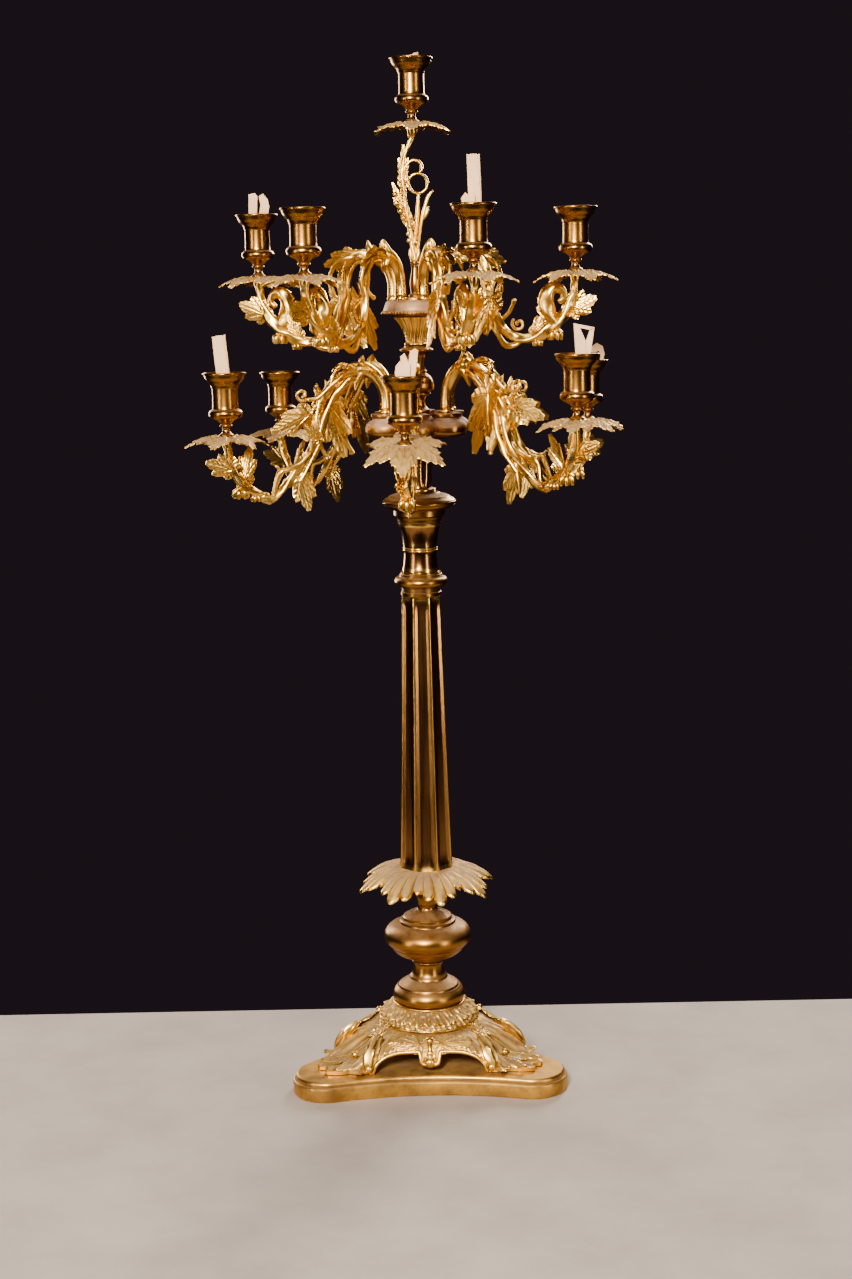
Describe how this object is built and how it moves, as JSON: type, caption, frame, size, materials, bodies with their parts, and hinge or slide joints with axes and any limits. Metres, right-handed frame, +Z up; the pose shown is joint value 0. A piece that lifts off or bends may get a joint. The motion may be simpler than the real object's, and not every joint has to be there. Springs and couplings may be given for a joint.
{
  "type": "candelabrum",
  "caption": "Free-standing cast and turned brass candelabrum on a lobed plinth, with two tiers of swivelling vine-leaf arms, drip pans and candle cups.",
  "frame": {"origin": "centre of the plinth's underside, on the stem's axis", "axes": "+Z up along the stem, -Y towards the front, +X to the right seen from the front"},
  "size_m": [0.4389, 0.4054, 1.0251],
  "materials": {
    "plinth_brass": "polished with dust on top",
    "foot_brass": "cast relief, bright edges and dusty hollows",
    "turned_brass": "polished, warm, dust on the shoulders",
    "cup_brass": "polished, warm",
    "column_brass": "dark patinated polish with streaks",
    "gilt_cast": "bright cast brass",
    "hub_brass": "cast brass under dust",
    "dusty_leaf": "matt pinkish dust over cast brass",
    "fixings": "dull",
    "paper": "folded pinkish white card"
  },
  "bodies": {
    "stand": {"base_plate": "plinth_brass", "tripod_foot": "foot_brass", "foot_screw_1": "fixings", "foot_screw_2": "fixings", "foot_screw_3": "fixings", "foot_dome": "foot_brass", "stem_bun": "turned_brass", "stem_knop": "turned_brass", "leaf_collar": "dusty_leaf", "column": "column_brass", "column_collar": "turned_brass", "bell_neck": "column_brass", "crown_moulding": "turned_brass", "vase_stem": "column_brass", "lower_hub": "hub_brass", "pear_knop": "turned_brass", "saucer_neck": "turned_brass", "leaf_capital": "gilt_cast", "upper_hub": "hub_brass", "spindle": "turned_brass", "foliate_spray": "gilt_cast", "tie_rod": "fixings", "tie_rod_washer": "fixings", "tie_rod_nut": "fixings", "top_drip_pan": "dusty_leaf", "top_cup": "cup_brass", "top_paper": "paper"},
    "lower_front": {"lower_front_arm": "gilt_cast", "lower_front_drip_pan": "dusty_leaf", "lower_front_cup": "cup_brass", "lower_front_paper": "paper"},
    "lower_front_right": {"lower_front_right_arm": "gilt_cast", "lower_front_right_drip_pan": "dusty_leaf", "lower_front_right_cup": "cup_brass", "lower_front_right_paper": "paper"},
    "lower_back_right": {"lower_back_right_arm": "gilt_cast", "lower_back_right_drip_pan": "dusty_leaf", "lower_back_right_cup": "cup_brass", "lower_back_right_paper": "paper"},
    "lower_back_left": {"lower_back_left_arm": "gilt_cast", "lower_back_left_drip_pan": "dusty_leaf", "lower_back_left_cup": "cup_brass"},
    "lower_front_left": {"lower_front_left_arm": "gilt_cast", "lower_front_left_drip_pan": "dusty_leaf", "lower_front_left_cup": "cup_brass", "lower_front_left_paper": "paper"},
    "upper_right": {"upper_right_arm": "gilt_cast", "upper_right_drip_pan": "dusty_leaf", "upper_right_cup": "cup_brass"},
    "upper_front_right": {"upper_front_right_arm": "gilt_cast", "upper_front_right_drip_pan": "dusty_leaf", "upper_front_right_cup": "cup_brass", "upper_front_right_paper": "paper"},
    "upper_front_left": {"upper_front_left_arm": "gilt_cast", "upper_front_left_drip_pan": "dusty_leaf", "upper_front_left_cup": "cup_brass"},
    "upper_left": {"upper_left_arm": "gilt_cast", "upper_left_drip_pan": "dusty_leaf", "upper_left_cup": "cup_brass", "upper_left_paper": "paper"}
  },
  "joints": [
    {"name": "lower_front_swivel", "type": "hinge", "parent": "stand", "child": "lower_front", "pos_m": [-0.00301, -0.03437, 0.682], "axis": [0, 0, 1], "range_deg": [-17, 13]},
    {"name": "lower_front_right_swivel", "type": "hinge", "parent": "stand", "child": "lower_front_right", "pos_m": [0.02826, -0.01979, 0.682], "axis": [0, 0, 1], "range_deg": [-9, 21]},
    {"name": "lower_back_right_swivel", "type": "hinge", "parent": "stand", "child": "lower_back_right", "pos_m": [0.03127, 0.01458, 0.682], "axis": [0, 0, 1], "range_deg": [-15, 15]},
    {"name": "lower_back_left_swivel", "type": "hinge", "parent": "stand", "child": "lower_back_left", "pos_m": [-0.02826, 0.01979, 0.682], "axis": [0, 0, 1], "range_deg": [-7, 23]},
    {"name": "lower_front_left_swivel", "type": "hinge", "parent": "stand", "child": "lower_front_left", "pos_m": [-0.03127, -0.01458, 0.682], "axis": [0, 0, 1], "range_deg": [-6, 24]},
    {"name": "upper_right_swivel", "type": "hinge", "parent": "stand", "child": "upper_right", "pos_m": [0.02167, -0.00382, 0.791], "axis": [0, 0, 1], "range_deg": [-12, 12]},
    {"name": "upper_front_right_swivel", "type": "hinge", "parent": "stand", "child": "upper_front_right", "pos_m": [0.00752, -0.02067, 0.791], "axis": [0, 0, 1], "range_deg": [-12, 12]},
    {"name": "upper_front_left_swivel", "type": "hinge", "parent": "stand", "child": "upper_front_left", "pos_m": [-0.01414, -0.01685, 0.791], "axis": [0, 0, 1], "range_deg": [-12, 12]},
    {"name": "upper_left_swivel", "type": "hinge", "parent": "stand", "child": "upper_left", "pos_m": [-0.02167, 0.00382, 0.791], "axis": [0, 0, 1], "range_deg": [-12, 12]}
  ]
}
